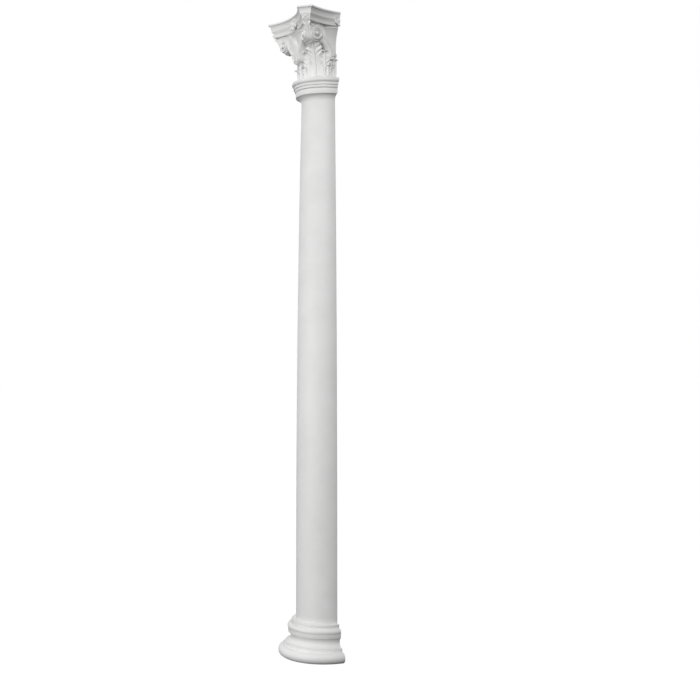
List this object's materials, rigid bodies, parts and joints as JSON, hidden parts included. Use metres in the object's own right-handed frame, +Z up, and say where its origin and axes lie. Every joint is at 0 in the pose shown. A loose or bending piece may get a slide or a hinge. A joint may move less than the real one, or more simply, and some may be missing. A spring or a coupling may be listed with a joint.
{
  "type": "half column",
  "caption": "Half-round interior column with a plain swelling shaft, a round Attic base and a leafy capital with corner volutes, open at its flat back.",
  "frame": {"origin": "centre of the bounding box at the bottom, on the floor; the wall plane is the +Y side", "axes": "+Z up the column, +Y into the wall, -Y out into the room"},
  "size_m": [0.359, 0.1794, 2.437],
  "materials": {
    "white_moulding": "smooth factory primer, matt to satin, on a dense moulded foam"
  },
  "bodies": {
    "root": {"base": "white_moulding", "shaft": "white_moulding", "capital": "white_moulding"}
  },
  "joints": []
}
